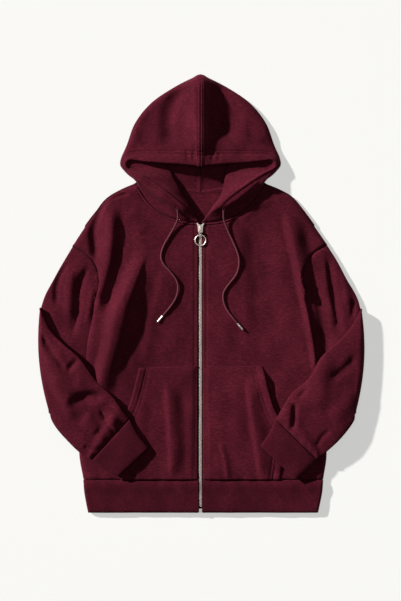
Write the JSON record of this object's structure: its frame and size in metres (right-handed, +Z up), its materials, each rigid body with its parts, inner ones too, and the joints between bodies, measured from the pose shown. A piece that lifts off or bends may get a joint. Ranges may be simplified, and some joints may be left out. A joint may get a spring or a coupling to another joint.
{
  "type": "zip up hoodie laid flat",
  "caption": "Zip up fleece hoodie lying flat on its back, sleeves folded over the front, with split pockets, drawstring and a metal zip with a ring pull.",
  "frame": {"origin": "on the surface the hoodie lies on, under the middle of its outline", "axes": "+Y runs up the garment from the hem to the hood, +X is to the right as it is seen from above, +Z is up, away from the surface"},
  "size_m": [0.6755, 0.9089, 0.033],
  "materials": {
    "fleece": "matte brushed fleece, burgundy marl",
    "rib": "matte rib knit, burgundy",
    "cord": "matte braided cord, burgundy",
    "tape": "matte woven tape, burgundy",
    "steel": "polished nickel"
  },
  "bodies": {
    "garment": {"back": "fleece", "front_left": "fleece", "front_right": "fleece", "hood_left": "fleece", "hood_right": "fleece", "sleeve_left": "fleece", "sleeve_right": "fleece", "pocket_left": "fleece", "pocket_right": "fleece", "cuff_left": "rib", "cuff_right": "rib", "hem_rib": "rib", "zip_tape_left": "tape", "zip_tape_right": "tape", "zip_chain": "steel", "zip_box": "steel", "zip_slider": "steel", "drawstring_left": "cord", "drawstring_right": "cord", "aglet_left": "steel", "aglet_right": "steel"},
    "link": {"pull_link": "steel"},
    "ring": {"pull_ring": "steel"}
  },
  "joints": [
    {"name": "link_swing", "type": "hinge", "parent": "garment", "child": "link", "pos_m": [0, 0.1264, 0.0165], "axis": [-1, 0, 0], "range_deg": [0, 110]},
    {"name": "ring_swing", "type": "hinge", "parent": "link", "child": "ring", "pos_m": [0, 0.12095, 0.01405], "axis": [-1, 0, 0], "range_deg": [0, 60]}
  ]
}
